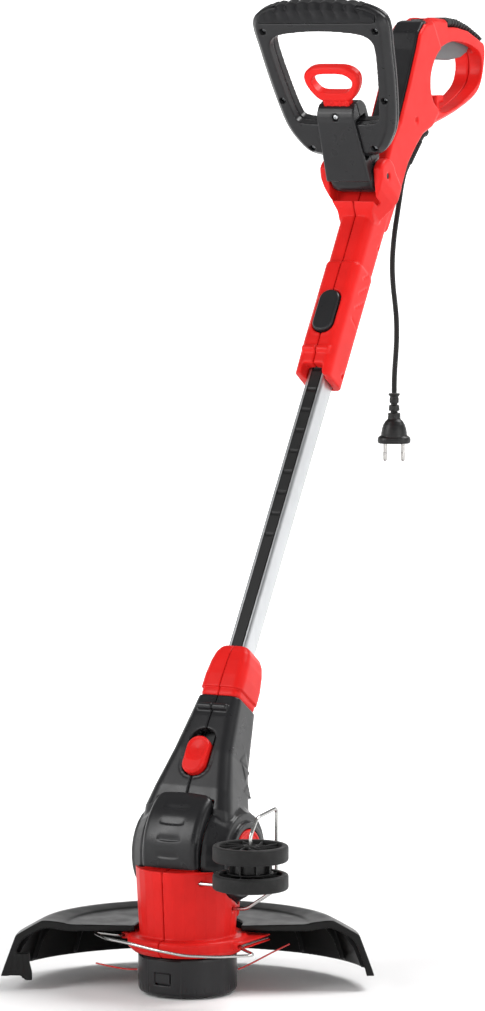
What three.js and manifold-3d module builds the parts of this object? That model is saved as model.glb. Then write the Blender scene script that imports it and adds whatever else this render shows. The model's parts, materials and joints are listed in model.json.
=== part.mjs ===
// Corded electric string trimmer: telescopic tube, turning and tilting motor head, hinged front
// handle and rear D-handle. Millimetres, +Z up, -Y forward, X across. The origin is the centre of
// the flat foot under the line spool, on the ground.
import * as THREE from 'three';
import { mergeVertices } from 'three/addons/utils/BufferGeometryUtils.js';
import { ConvexGeometry } from 'three/addons/geometries/ConvexGeometry.js';
import Module from 'manifold-3d';

const wasm = await Module();
wasm.setup();
const { Manifold, Mesh: RawMesh } = wasm;
const deg = THREE.MathUtils.degToRad;

// ---------------------------------------------------------------- driving dimensions
const GAP = 0.3;                       // clearance between pieces that touch
const SEAM = GAP / 2;                  // half of the parting gap between two half shells
const SIDES = 28;                      // sides of a round piece

const TILT_Y = 22;                     // axle that joins the fork and the motor head
const TILT_Z = 138;
const LEAN = 33;                       // lean of the tube from the vertical, degrees
const TUBE_N = 28;                     // tube axis in front of the tilt axle
const TUBE_W = 21;
const TUBE_D = 24;
const TUBE_WALL = 1.4;
const TUBE_START = 72;                 // lower and upper end, along the tube from the tilt axle
const TUBE_END = 600;
const TELESCOPE = 165;                 // how far the tube slides into the handle

const HEAD_YAW = 28.5;                 // the guard sits turned about the spool axis, degrees
const FLANGE_R = 60;
const FLANGE_Z = 42.5;
const FLANGE_TOP = 59;
const BODY_R = 49;
const SPOOL_R = 49.5;
const SPOOL_TOP = 41.5;
const FORK_IN = 32;                    // inner and outer faces of the fork's ears
const FORK_OUT = 57;
const DRUM_R = 60;                     // front of the housing's drum, round the tilt axle
const DRUM_HALF = 28;

const HINGE_Y = 368;                   // hinge of the front handle
const HINGE_Z = 805;
const BAR_LEAN = 25;                   // the front handle leans forward, degrees
const EAR_IN = 26.6;
const EAR_OUT = 37;
const EAR_R = 18.5;
const BARREL_R = 17;

const BODY_HALF = 19;                  // half widths of the rear body, the D-handle and the sleeve
const GRIP_HALF = 16.5;
const SLEEVE_HALF = 20.5;
const SLEEVE_START = 522;

// ---------------------------------------------------------------- materials
const plastic = (color, roughness) => new THREE.MeshStandardMaterial({ color, roughness, metalness: 0 });
const metal = (color, roughness) => new THREE.MeshStandardMaterial({ color, roughness, metalness: 1 });
const red = plastic(0xd41d1b, 0.35);
const black = plastic(0x2c2c2e, 0.45);
const rubber = plastic(0x232325, 0.8);
const grey = plastic(0x77797b, 0.45);
const white = plastic(0xd8d8d4, 0.5);
const aluminium = metal(0xd9dadd, 0.3);
const steel = metal(0xb9bbbd, 0.25);

// ---------------------------------------------------------------- solids
// A closed geometry becomes a solid once its shared corners are merged.
function solid(geometry) {
  const bare = geometry.index ? geometry.toNonIndexed() : geometry.clone();
  for (const name of Object.keys(bare.attributes)) {
    if (name !== 'position') bare.deleteAttribute(name);
  }
  const merged = mergeVertices(bare, 1e-4);
  const corners = merged.index.array;
  const kept = [];
  for (let i = 0; i < corners.length; i += 3) {
    const [a, b, c] = [corners[i], corners[i + 1], corners[i + 2]];
    if (a !== b && b !== c && c !== a) kept.push(a, b, c);
  }
  return new Manifold(new RawMesh({
    numProp: 3,
    vertProperties: new Float32Array(merged.attributes.position.array),
    triVerts: new Uint32Array(kept),
  }));
}

const join = (first, ...others) => others.reduce((whole, next) => whole.add(next), first);
const cut = (first, ...others) => others.reduce((whole, next) => whole.subtract(next), first);
const common = (first, ...others) => others.reduce((whole, next) => whole.intersect(next), first);

// A box from its lowest to its highest corner.
function block(x0, x1, y0, y1, z0, z1) {
  const box = new THREE.BoxGeometry(x1 - x0, y1 - y0, z1 - z0);
  return box.translate((x0 + x1) / 2, (y0 + y1) / 2, (z0 + z1) / 2);
}

const brick = (...sizes) => solid(block(...sizes));

// An upright cylinder, and a cylinder that lies along X.
function post(radius, z0, z1, x = 0, y = 0, sides = SIDES) {
  const cylinder = new THREE.CylinderGeometry(radius, radius, z1 - z0, sides);
  return solid(cylinder.rotateX(Math.PI / 2).translate(x, y, (z0 + z1) / 2));
}

function crossPin(radius, x0, x1, y, z, sides = SIDES) {
  const cylinder = new THREE.CylinderGeometry(radius, radius, x1 - x0, sides);
  return solid(cylinder.rotateZ(Math.PI / 2).translate((x0 + x1) / 2, y, z));
}

// A cylinder that lies along Y.
function depthPin(radius, y0, y1, x, z, sides = SIDES) {
  const cylinder = new THREE.CylinderGeometry(radius, radius, y1 - y0, sides);
  return solid(cylinder.translate(x, (y0 + y1) / 2, z));
}

// A turned piece about Z, from [radius, height] pairs.
function turned(profile, sides = SIDES) {
  const points = profile.map(([r, z]) => new THREE.Vector2(r, z));
  return solid(new THREE.LatheGeometry(points, sides).rotateX(Math.PI / 2));
}

// A turned piece about X, from [x, radius] pairs, through a point of the YZ plane.
function turnedAcross(profile, y, z, sides = SIDES) {
  const points = profile.map(([x, r]) => new THREE.Vector2(r, x));
  const lathe = new THREE.LatheGeometry(points, sides).rotateZ(-Math.PI / 2);
  return solid(lathe.translate(0, y, z));
}

const extrusion = (shape, depth, bevel) => new THREE.ExtrudeGeometry(shape, {
  depth: depth - 2 * bevel,
  curveSegments: 5,
  bevelEnabled: bevel > 0,
  bevelThickness: bevel,
  bevelSize: bevel,
  bevelOffset: -bevel,
  bevelSegments: 1,
}).translate(0, 0, bevel);

// A side outline in the YZ plane, pushed along X; a front outline in the XZ plane, pushed along Y;
// and a plan outline in the XY plane, pushed along Z.
function sideSlab(shape, x0, x1, bevel = 0) {
  const turn = new THREE.Matrix4().set(0, 0, 1, x0, 1, 0, 0, 0, 0, 1, 0, 0, 0, 0, 0, 1);
  return extrusion(shape, x1 - x0, bevel).applyMatrix4(turn);
}

function frontSlab(shape, y0, y1, bevel = 0) {
  return extrusion(shape, y1 - y0, bevel).rotateX(Math.PI / 2).translate(0, y1, 0);
}

function planSlab(shape, z0, z1, bevel = 0) {
  return extrusion(shape, z1 - z0, bevel).translate(0, 0, z0);
}

const outline = (points) => new THREE.Shape(points.map(([u, v]) => new THREE.Vector2(u, v)));

// A smooth closed outline through its points.
function smoothOutline(points, divisions) {
  const corners = points.map(([u, v]) => new THREE.Vector3(u, v, 0));
  const curve = new THREE.CatmullRomCurve3(corners, true, 'catmullrom', 0.5);
  return new THREE.Shape(curve.getPoints(divisions).slice(0, -1).map((p) => new THREE.Vector2(p.x, p.y)));
}

// A rectangle with round corners, about a centre.
function roundedBox(u, v, halfU, halfV, radius) {
  const shape = new THREE.Shape();
  shape.moveTo(u + halfU, v - halfV + radius);
  shape.absarc(u + halfU - radius, v + halfV - radius, radius, 0, Math.PI / 2);
  shape.absarc(u - halfU + radius, v + halfV - radius, radius, Math.PI / 2, Math.PI);
  shape.absarc(u - halfU + radius, v - halfV + radius, radius, Math.PI, 1.5 * Math.PI);
  shape.absarc(u + halfU - radius, v - halfV + radius, radius, 1.5 * Math.PI, 2 * Math.PI);
  return shape;
}

// The skin stretched over a stack of plan outlines: [half width, y front, y back, z, corner radius].
function stretched(sections) {
  const points = [];
  for (const [half, front, back, z, radius] of sections) {
    const shape = roundedBox(0, (front + back) / 2, half, (back - front) / 2, radius);
    shape.getPoints(3).forEach((p) => points.push(new THREE.Vector3(p.x, p.y, z)));
  }
  return solid(new ConvexGeometry(points));
}

// A round wire or cord along a path.
function wire(path, radius, steps, sides = 8) {
  const ring = new THREE.Shape();
  ring.absarc(0, 0, radius, 0, 2 * Math.PI);
  const section = new THREE.Shape(ring.getSpacedPoints(sides).slice(0, -1));
  return solid(new THREE.ExtrudeGeometry(section, { extrudePath: path, steps, curveSegments: 1 }));
}

const smoothPath = (points) => new THREE.CatmullRomCurve3(
  points.map((p) => new THREE.Vector3(...p)), false, 'catmullrom', 0.5,
);

// Straight runs between corners, with a bend that starts a little before each corner.
function bentPath(points, bend) {
  const path = new THREE.CurvePath();
  const corners = points.map((p) => new THREE.Vector3(...p));
  let from = corners[0];
  for (let i = 1; i < corners.length - 1; i += 1) {
    const [last, here, next] = [corners[i - 1], corners[i], corners[i + 1]];
    const before = here.clone().lerp(last, bend / here.distanceTo(last));
    const after = here.clone().lerp(next, bend / here.distanceTo(next));
    path.add(new THREE.LineCurve3(from, before));
    path.add(new THREE.QuadraticBezierCurve3(before, here, after));
    from = after;
  }
  path.add(new THREE.LineCurve3(from, corners[corners.length - 1]));
  return path;
}

// The half of a body on one side of the middle plane.
function halfOf(whole, side) {
  const reach = 1500;
  return side < 0
    ? common(whole, brick(-reach, -SEAM, -reach, reach, -reach, reach))
    : common(whole, brick(SEAM, reach, -reach, reach, -reach, reach));
}

// ---------------------------------------------------------------- frames
const trimmer = new THREE.Group();
trimmer.name = 'string_trimmer';

// Along the tube: z runs up the tube from the tilt axle, -y is its front face's side.
const tubeFrame = new THREE.Group();
tubeFrame.position.set(0, TILT_Y, TILT_Z);
tubeFrame.rotation.x = -deg(LEAN);
tubeFrame.updateMatrix();

// Along the front handle: z runs up the handle from its hinge, -y is its front.
const barFrame = new THREE.Group();
barFrame.position.set(0, HINGE_Y, HINGE_Z);
barFrame.rotation.x = deg(BAR_LEAN);

// Turned about the spool axis.
const guardFrame = new THREE.Group();
guardFrame.rotation.z = deg(HEAD_YAW);
trimmer.add(tubeFrame, barFrame, guardFrame);

function piece(name, body, material, frame = trimmer) {
  const raw = body.getMesh();
  const geometry = new THREE.BufferGeometry();
  const corners = new Float32Array(raw.numVert * 3);
  for (let i = 0; i < raw.numVert; i += 1) {
    for (let k = 0; k < 3; k += 1) corners[3 * i + k] = raw.vertProperties[raw.numProp * i + k];
  }
  geometry.setAttribute('position', new THREE.BufferAttribute(corners, 3));
  geometry.setIndex(new THREE.BufferAttribute(new Uint32Array(raw.triVerts), 1));
  geometry.computeVertexNormals();
  const mesh = new THREE.Mesh(geometry, material);
  mesh.name = name;
  frame.add(mesh);
}

// A point beside the tube as [y, z] of the whole trimmer: n in front of the tilt axle, s along.
function beside(n, s) {
  const lean = deg(LEAN);
  return [
    TILT_Y + s * Math.sin(lean) - n * Math.cos(lean),
    TILT_Z + s * Math.cos(lean) + n * Math.sin(lean),
  ];
}

// A solid made in the tube's frame, moved into the trimmer's.
const fromTube = (body) => body.transform(tubeFrame.matrix.elements.slice());

const sides = [['left', -1], ['right', 1]];

// ---------------------------------------------------------------- cord boot
const BOOT_TOP = [0, 524, 852.5];
const CORD_START = [0, 488.5, 815.5];
const bootAxis = new THREE.Vector3(...BOOT_TOP).sub(new THREE.Vector3(...CORD_START));
const bootLength = bootAxis.length();
const bootTilt = new THREE.Matrix4().makeRotationX(-Math.atan2(bootAxis.y, bootAxis.z));
bootTilt.setPosition(...CORD_START);

// The boot's sleeve, collar and stem, made wider by the room they need.
function bootBody(room, reach) {
  return turned([
    [0, 0.8], [3.6 + room, 0.8], [4.2 + room, bootLength * 0.5], [5.6 + room, bootLength - 8],
    [7.5 + room, bootLength - 6 - room], [7.5 + room, bootLength - 3 + room],
    [4.8 + room, bootLength - 2 + room], [4.8 + room, bootLength + reach], [0, bootLength + reach],
  ], 16).transform(bootTilt.elements);
}

// ---------------------------------------------------------------- handle shells
const dHandle = smoothOutline([
  [505, 968], [545, 970], [580, 968], [612, 960], [636, 951], [646, 938], [643, 915], [634, 896],
  [618, 884], [580, 871], [545, 862], [510, 854], [490, 846], [470, 880], [480, 930],
], 60);
const fingerHole = smoothOutline([
  [504, 903], [509, 919], [523, 934], [543, 942], [566, 946], [594, 944], [618, 939], [632, 931],
  [635, 915], [628, 901], [612, 891], [583, 879], [553, 871], [533, 870], [517, 877], [507, 888],
], 48);
const bodySide = outline([
  beside(50, 716), beside(56, 800), [431, 862], [452, 900], [470, 936], [478, 955], [490, 965],
  [512, 968], [560, 900], [512, 854], [488, 846], [470, 832], [452, 815], [438, 792],
  beside(10, 716),
]);
const spineOutline = outline([
  beside(57, 796), [431, 863], [452, 901], [470, 937], [478, 956], [489, 966.5], [499, 968.5],
  [499, 963], [488, 957], [478, 940], [459, 905], [440, 866], beside(49, 796),
]);
const sleeveFront = outline([
  [-SLEEVE_HALF, SLEEVE_START], [SLEEVE_HALF, SLEEVE_START], [SLEEVE_HALF, 714],
  [EAR_OUT - 4, 731], [EAR_OUT, 740], [EAR_OUT, 800], [-EAR_OUT, 800], [-EAR_OUT, 740],
  [-EAR_OUT + 4, 731], [-SLEEVE_HALF, 714],
]);
const earHub = [-73, 748];             // hinge of the front handle in the tube's frame: y, z
const earSide = new THREE.Shape();
earSide.moveTo(-48, 706);
earSide.lineTo(-36, 712);
earSide.lineTo(-38, 756);
earSide.lineTo(earHub[0] + 12, earHub[1] + 14);
earSide.absarc(earHub[0], earHub[1], EAR_R, 0.9, Math.PI + 0.15);
earSide.lineTo(-62, 715);

const LEVER = [616, 944.5];              // pivot of the trigger in the YZ plane

function handleBody() {
  const sleeve = common(
    join(
      stretched([[SLEEVE_HALF, -53, -11.5, SLEEVE_START, 9], [SLEEVE_HALF, -55.5, -11.5, 560, 10],
        [SLEEVE_HALF, -56, -11.5, 654, 10]]),
      stretched([[SLEEVE_HALF - 1, -53.5, -12, 640, 10], [SLEEVE_HALF - 1, -55.5, -12, 775, 10]]),
    ),
    solid(frontSlab(sleeveFront, -120, 20)),
  );
  const ears = common(
    solid(sideSlab(earSide, -EAR_OUT, EAR_OUT, 2)), solid(frontSlab(sleeveFront, -120, 20)),
  );
  const barrelRoom = join(
    crossPin(BARREL_R + 1, -EAR_IN, EAR_IN, ...earHub),
    brick(-EAR_IN, EAR_IN, -130, -57, 721, 800),
  );
  const pivotHole = crossPin(3.3, -EAR_OUT - 1, EAR_OUT + 1, ...earHub, 16);
  const rimRoom = solid(frontSlab(roundedBox(0, 593.5, 12, 25.5, 11.5), -60, -41));
  const mouth = brick(-11, 11, -62, -38, SLEEVE_START - 7, SLEEVE_START + 10);
  const tubeRoom = brick(-11, 11, -TUBE_N - 12.5, -TUBE_N + 12.5, 500, TUBE_END + TELESCOPE + 6);
  const stripRoom = brick(-7, 7, -TUBE_N - 14, -TUBE_N - 12, 500, TUBE_END + TELESCOPE + 6);
  const bump = common(
    solid(new THREE.CylinderGeometry(4, 4, 32, 12).rotateZ(Math.PI / 2).translate(0, -54, 549)),
    brick(-40, 40, -70, -45, 540, 560),
  );
  const lower = cut(join(sleeve, ears, bump), barrelRoom, pivotHole, rimRoom, tubeRoom, stripRoom, mouth);

  const rear = join(
    solid(sideSlab(bodySide, -BODY_HALF, BODY_HALF, 3)),
    solid(sideSlab(dHandle, -GRIP_HALF, GRIP_HALF, 4)),
    brick(-4, 4, 546, 554, 868, 889),
  );
  const hole = solid(sideSlab(fingerHole, -30, 30));
  const hook = join(brick(-4, 4, 548, 556, 868, 888), brick(-4, 4, 548, 566, 880, 888));
  const padRoom = solid(sideSlab(outline([
    [549.5, 960.9], [570, 961.2], [600, 957.2], [637, 944.6], [650, 944], [650, 990], [549.5, 990],
  ]), -30, 30));
  const spineRoom = solid(sideSlab(spineOutline, -16.3, 16.3));
  const leverRoom = solid(sideSlab(outline([[516, 925], [630, 925], [630, 955], [516, 957]]), -7, 7));
  const switchRoom = brick(-13, 13, 486, 518, 900, 950);
  const lockRoom = brick(-6.5, 6.5, 504.5, 530.5, 949, 980);
  const cordRoom = join(bootBody(GAP, 25), crossPin(2.3, -9.3, 9.3, ...LEVER, 12));
  const upper = cut(
    join(cut(rear, hole), hook),
    fromTube(barrelRoom), fromTube(tubeRoom), fromTube(stripRoom),
    padRoom, spineRoom, leverRoom, switchRoom, lockRoom, cordRoom,
  );
  return join(fromTube(lower), upper);
}
const handle = handleBody();
for (const [name, side] of sides) piece(`handle_shell_${name}`, halfOf(handle, side), red);

piece('spine_cover', solid(sideSlab(spineOutline, -16, 16, 1.5)), black);

// ---------------------------------------------------------------- pieces on the handle
const padOutline = outline([
  [550, 961.6], [570, 962], [600, 958], [637, 945.6], [643.5, 948], [633, 954.5], [606, 964],
  [580, 970], [556, 971.8], [550, 970.5],
]);
piece('rear_grip_pad', solid(sideSlab(padOutline, -15, 15, 3)), rubber);

const lever = solid(sideSlab(outline([
  [524, 931], [545, 926.5], [575, 925.5], [604, 928.5], [619, 934], [624, 941], [623, 947.8],
  [612, 951.5], [540, 949], [521, 946],
]), -6.5, 6.5, 1.5));
piece('trigger', cut(lever, crossPin(2.3, -8, 8, ...LEVER, 12)), grey);
piece('trigger_pin', crossPin(2, -9, 9, ...LEVER, 12), steel);
piece('switch_block', brick(-10, 10, 490, 512, 905, 943), white);
piece('lock_off_button', brick(-6, 6, 505.2, 529.8, 957, 969.8), black);

const oval = (half, length, middle) => roundedBox(0, middle, half, length / 2, half - 0.6);
piece('length_button', solid(frontSlab(oval(11.4, 49, 593.5), -59.5, -44, 1.5)), black, tubeFrame);
piece('front_hinge_pin', crossPin(3, -EAR_OUT + 1.5, EAR_OUT - 1.5, 0, 0, 16), steel, barFrame);

// ---------------------------------------------------------------- cord and plug
const CORD_R = 2.8;
const cordRoute = [
  CORD_START, [0, 479, 805.7], [0, 472.5, 793], [0, 467, 777], [0, 461.5, 760], [0, 456, 743],
  [0, 452.3, 726], [0, 450.7, 712], [0, 451, 698], [0, 453.5, 682], [0, 457, 668], [0, 460, 654],
  [0, 461.3, 641], [0, 461.2, 626], [0, 459.5, 611], [0, 457.4, 597], [0, 456.2, 584], [0, 456, 570.5],
];
piece('cord', wire(smoothPath(cordRoute), CORD_R, 40), black);
piece('cord_boot', bootBody(0, 12), rubber);

// The plug hangs from the cord's end, and its flat face looks across the view of the handle.
const PLUG_TOP = 570.5;
const plugFrame = new THREE.Group();
plugFrame.position.set(0, 456, 0);
plugFrame.rotation.z = deg(27);
trimmer.add(plugFrame);
const plugBody = join(
  turned([[0, PLUG_TOP - 54], [11, PLUG_TOP - 54], [14.4, PLUG_TOP - 47], [10.5, PLUG_TOP - 34],
    [6.5, PLUG_TOP - 28], [5.8, PLUG_TOP - 5], [5.8, PLUG_TOP - GAP], [0, PLUG_TOP - GAP]], 16),
  solid(planSlab(roundedBox(0, 0, 17.8, 12, 11.4), PLUG_TOP - 54.5, PLUG_TOP - 46.5, 1)),
);
piece('plug_body', plugBody, black, plugFrame);
for (const [name, side] of sides) {
  piece(`plug_pin_${name}`, post(2.4, PLUG_TOP - 73.5, PLUG_TOP - 54.8, side * 9.5, 0, 12), steel, plugFrame);
}

// ---------------------------------------------------------------- front handle
const barOuter = smoothOutline([
  [0, 205.5], [36, 203.5], [62, 196], [75, 182], [73, 150], [69, 111], [62, 69], [53, 48], [40, 33],
  [18, 28], [0, 28], [-18, 28], [-40, 33], [-53, 48], [-62, 69], [-69, 111], [-73, 150], [-75, 182],
  [-62, 196], [-36, 203.5],
], 72);
const barInner = smoothOutline([
  [0, 174], [40, 171], [55, 164], [58, 150], [54, 115], [48, 80], [42, 70], [20, 68], [0, 68],
  [-20, 68], [-42, 70], [-48, 80], [-54, 115], [-58, 150], [-55, 164], [-40, 171],
], 56);
const BAR_FRONT = -18;
const BAR_BACK = 4;
const padSpan = roundedBox(0, 206, 65, 22.5, 3);
const screwSpots = [[-62.5, 174], [62.5, 174], [-57, 95], [57, 95], [-35, 40], [35, 40]];

function barShell(yFront, yBack) {
  const ring = cut(
    solid(frontSlab(barOuter, BAR_FRONT, BAR_BACK, 6.5)), solid(frontSlab(barInner, -40, 40)),
  );
  const padRoom = common(
    solid(frontSlab(padSpan, -40, 40)),
    cut(brick(-90, 90, -40, 40, 170, 230), brick(-90, 90, -14, 0, 170, 199.5)),
  );
  const wells = screwSpots.map(([x, z]) => join(
    depthPin(3.6, -30, -10, x, z, 12), depthPin(1.5, -11, -5, x, z, 8),
  ));
  return common(cut(ring, padRoom, ...wells), brick(-90, 90, yFront, yBack, 0, 230));
}
piece('front_handle_face', barShell(-30, -7 - SEAM), black, barFrame);
piece('front_handle_back', barShell(-7 + SEAM, 30), black, barFrame);

function gripPad() {
  const pad = common(
    solid(frontSlab(barOuter, BAR_FRONT - 0.6, BAR_BACK + 0.6, 6.5)),
    solid(frontSlab(roundedBox(0, 206, 64.6, 22, 3), -40, 40)),
  );
  return cut(pad, brick(-90, 90, -14.3, 0.3, 150, 199.8));
}
piece('front_grip_pad', gripPad(), rubber, barFrame);
screwSpots.forEach(([x, z], i) => {
  const screw = join(depthPin(3.2, -13, -10.3, x, z, 12), depthPin(1.1, -10.5, -8, x, z, 8));
  piece(`front_handle_screw_${i + 1}`, screw, steel, barFrame);
});

const stemFront = outline([[-26, 3], [26, 3], [21, 88], [-21, 88]]);
const stemSide = new THREE.Shape();
stemSide.moveTo(12, 3);
stemSide.lineTo(12, 60);
stemSide.absarc(-5, 72, 17, 0, Math.PI);
stemSide.lineTo(-22, 3);
const barRoom = cut(brick(-60, 60, BAR_FRONT - GAP, BAR_BACK + GAP, 27, 71.5));
const neckRoom = brick(-15.3, 15.3, -12.3, -1.7, 71, 100);
const stem = cut(
  common(solid(frontSlab(stemFront, -22, 12, 1.5)), solid(sideSlab(stemSide, -30, 30))),
  barRoom, neckRoom, crossPin(BARREL_R + GAP, -30, 30, 0, 0), depthPin(3.8, -30, -17, 0, 77, 12),
);
piece('bracket_front', common(stem, brick(-40, 40, -30, -7 - SEAM, 0, 100)), black, barFrame);
const barrel = cut(
  join(
    turnedAcross([
      [-26, 0], [-26, 12], [-23, 16], [-18, BARREL_R], [18, BARREL_R], [23, 16], [26, 12], [26, 0],
    ], 0, 0),
    brick(-24, 24, -4, 11, 8, 26),
  ),
  crossPin(3.3, -30, 30, 0, 0, 16),
);
const stemBack = common(stem, brick(-40, 40, -7 + SEAM, 30, 17, 100));
piece('bracket_back', join(stemBack, barrel), black, barFrame);
piece('bracket_screw', depthPin(3.2, -20, -17.3, 0, 77, 12), steel, barFrame);

function releaseRing() {
  const outer = smoothOutline([
    [0, 131.5], [20, 130.5], [31, 123], [31.5, 111], [24, 98], [15, 91.5], [0, 91], [-15, 91.5],
    [-24, 98], [-31.5, 111], [-31, 123], [-20, 130.5],
  ], 36);
  const inner = smoothOutline([
    [0, 123.5], [15, 122.5], [23.5, 116], [22, 109], [15, 102.5], [0, 101.5], [-15, 102.5],
    [-22, 109], [-23.5, 116], [-15, 122.5],
  ], 30);
  const loop = cut(solid(frontSlab(outer, -13, -1, 2.5)), solid(frontSlab(inner, -40, 40)));
  return join(loop, brick(-15, 15, -12, -2, 74, 94));
}
piece('release_ring', releaseRing(), red, barFrame);

// ---------------------------------------------------------------- telescopic tube
function tubeBody() {
  const skin = solid(planSlab(roundedBox(0, -TUBE_N, TUBE_W / 2, TUBE_D / 2, 3), TUBE_START, TUBE_END));
  const hollow = solid(planSlab(
    roundedBox(0, -TUBE_N, TUBE_W / 2 - TUBE_WALL, TUBE_D / 2 - TUBE_WALL, 2), 0, 1000,
  ));
  const front = -TUBE_N - TUBE_D / 2;
  return cut(skin, hollow, brick(-6.6, 6.6, front - 1, front + 0.8, 0, 1000));
}
piece('tube', tubeBody(), aluminium, tubeFrame);

const NOTCHES = 11;
const NOTCH_PITCH = 24.3;
function ratchetStrip() {
  const front = -TUBE_N - TUBE_D / 2;
  let strip = brick(-6.3, 6.3, front - 0.9, front + 0.5, TUBE_START + 4, TUBE_END - 4);
  for (let i = 0; i < NOTCHES; i += 1) {
    const z = 338 + i * NOTCH_PITCH;
    strip = strip.subtract(brick(-8, 8, front - 2, front - 0.3, z - 1.4, z + 1.4));
  }
  return strip;
}
piece('ratchet_strip', ratchetStrip(), black, tubeFrame);
piece('inner_cable', post(3.2, TUBE_START - 4, TUBE_END + 4, 0, -TUBE_N, 10), black, tubeFrame);

// ---------------------------------------------------------------- collar, neck and fork
const boreRoom = brick(-10.9, 10.9, -TUBE_N - 12.4, -TUBE_N + 12.4, TUBE_START - 8, 1000);
const boreStrip = brick(-6.8, 6.8, -TUBE_N - 13.4, -TUBE_N - 12, TUBE_START - 8, 1000);
const collar = cut(
  join(
    stretched([[21, -48.5, -4, 151, 8], [22, -49.5, -3, 154, 8], [22, -49.5, -3, 158, 8]]),
    stretched([[23.5, -51.5, -2, 159.5, 9], [23.3, -51.5, -2, 174, 9], [21.8, -50.5, -4, 190, 9],
      [19.5, -49, -6, 200, 8], [16.5, -46.5, -9, 206, 7], [13.5, -44.5, -11, 208.5, 6]]),
    stretched([[21.3, -48.8, -4, 157, 8], [21.3, -48.8, -4, 161, 8]]),
  ),
  boreRoom, boreStrip,
);
for (const [name, side] of sides) piece(`collar_${name}`, halfOf(collar, side), red, tubeFrame);

const earProfile = [
  [FORK_IN, 0], [FORK_IN, 54], [37, 53], [48, 45], [53, 42.5], [53, 35], [FORK_OUT, 33.5], [FORK_OUT, 0],
];
const mirrored = (profile) => profile.map(([x, r]) => [-x, r]).reverse();

const BUSH_R = 17.9;
const BUSH_START = 118;
const bush = cut(post(BUSH_R, BUSH_START, 150.4, 0, -TUBE_N), boreRoom, boreStrip);
piece('swivel_bush', bush, grey, tubeFrame);

function neckBody() {
  const throat = join(
    stretched([[24, -49, -3, 150.5, 8], [26, -52, 0, 126, 9], [33, -54, 4, 88, 11]]),
    stretched([[33, -54, 4, 88, 11], [43, -54, 10, 47, 12], [49, -52, 14, 26, 14]]),
    stretched([[49, -52, 14, 26, 14], [52, -40, 30, 0, 16]]),
    turnedAcross(earProfile, 0, 0),
    turnedAcross(mirrored(earProfile), 0, 0),
  );
  const web = 62;
  const headRoom = join(
    crossPin(web, -FORK_IN, FORK_IN, 0, 0, 40),
    brick(-FORK_IN, FORK_IN, -80, 80, -80, 0),
    solid(sideSlab(outline([[0, 0], [-120, 79.4], [-120, -20]]), -FORK_IN, FORK_IN)),
  );
  const frontTrim = brick(-70, 70, -80, -54, -70, 30);
  const recess = solid(frontSlab(oval(14.2, 53, 85.5), -70, -46));
  const buttonRoom = brick(-9.5, 9.5, -50, -41, 66, 111);
  const crossBar = crossPin(3.6, -17, 17, -53, 136, 10);
  const capRoom = join(
    crossPin(27.5, FORK_OUT - 3.3, 80, 0, 0), crossPin(27.5, -80, -FORK_OUT + 3.3, 0, 0),
  );
  const axleRoom = crossPin(7.3, -80, 80, 0, 0);
  const turningRoom = join(
    post(16.6, TUBE_START - 8, 200, 0, -TUBE_N), post(BUSH_R + GAP, BUSH_START - 1, 200, 0, -TUBE_N),
  );
  return cut(join(throat, crossBar), headRoom, frontTrim, recess, buttonRoom, capRoom, axleRoom, turningRoom);
}
const neck = neckBody();
for (const [name, side] of sides) piece(`neck_shell_${name}`, halfOf(neck, side), black, tubeFrame);
piece('hinge_axle', crossPin(7, -FORK_OUT + 3.6, FORK_OUT - 3.6, 0, 0, 20), steel, tubeFrame);
for (const [name, side] of sides) {
  const inner = FORK_OUT - 3;
  const cap = turnedAcross([
    [inner, 0], [inner, 27], [FORK_OUT - 0.5, 27], [FORK_OUT + 1, 24], [FORK_OUT + 1, 0],
  ], 0, 0);
  piece(`hinge_cap_${name}`, side > 0 ? cap : cap.mirror([1, 0, 0]), red, tubeFrame);
}
const tiltButton = join(
  solid(frontSlab(oval(12.4, 41, 80), -61, -46.6, 2.5)),
  brick(-6, 6, -47, -44.7, 68, 92),
);
const thumbDish = solid(new THREE.SphereGeometry(34, 20, 12).translate(0, -91.5, 87));
piece('tilt_button', cut(tiltButton, thumbDish), red, tubeFrame);

// ---------------------------------------------------------------- motor head
function sector(radius, from, to) {
  const wedge = new THREE.Shape();
  wedge.moveTo(0, 0);
  wedge.absarc(0, 0, radius, deg(from), deg(to));
  return wedge;
}

// The skin stretched over a stack of circles: [radius, y, z].
function stacked(circles, count) {
  const points = [];
  for (const [radius, y, z] of circles) {
    for (let k = 0; k < count; k += 1) {
      const turn = (2 * Math.PI * k) / count;
      points.push(new THREE.Vector3(radius * Math.cos(turn), y + radius * Math.sin(turn), z));
    }
  }
  return solid(new ConvexGeometry(points));
}

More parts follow.
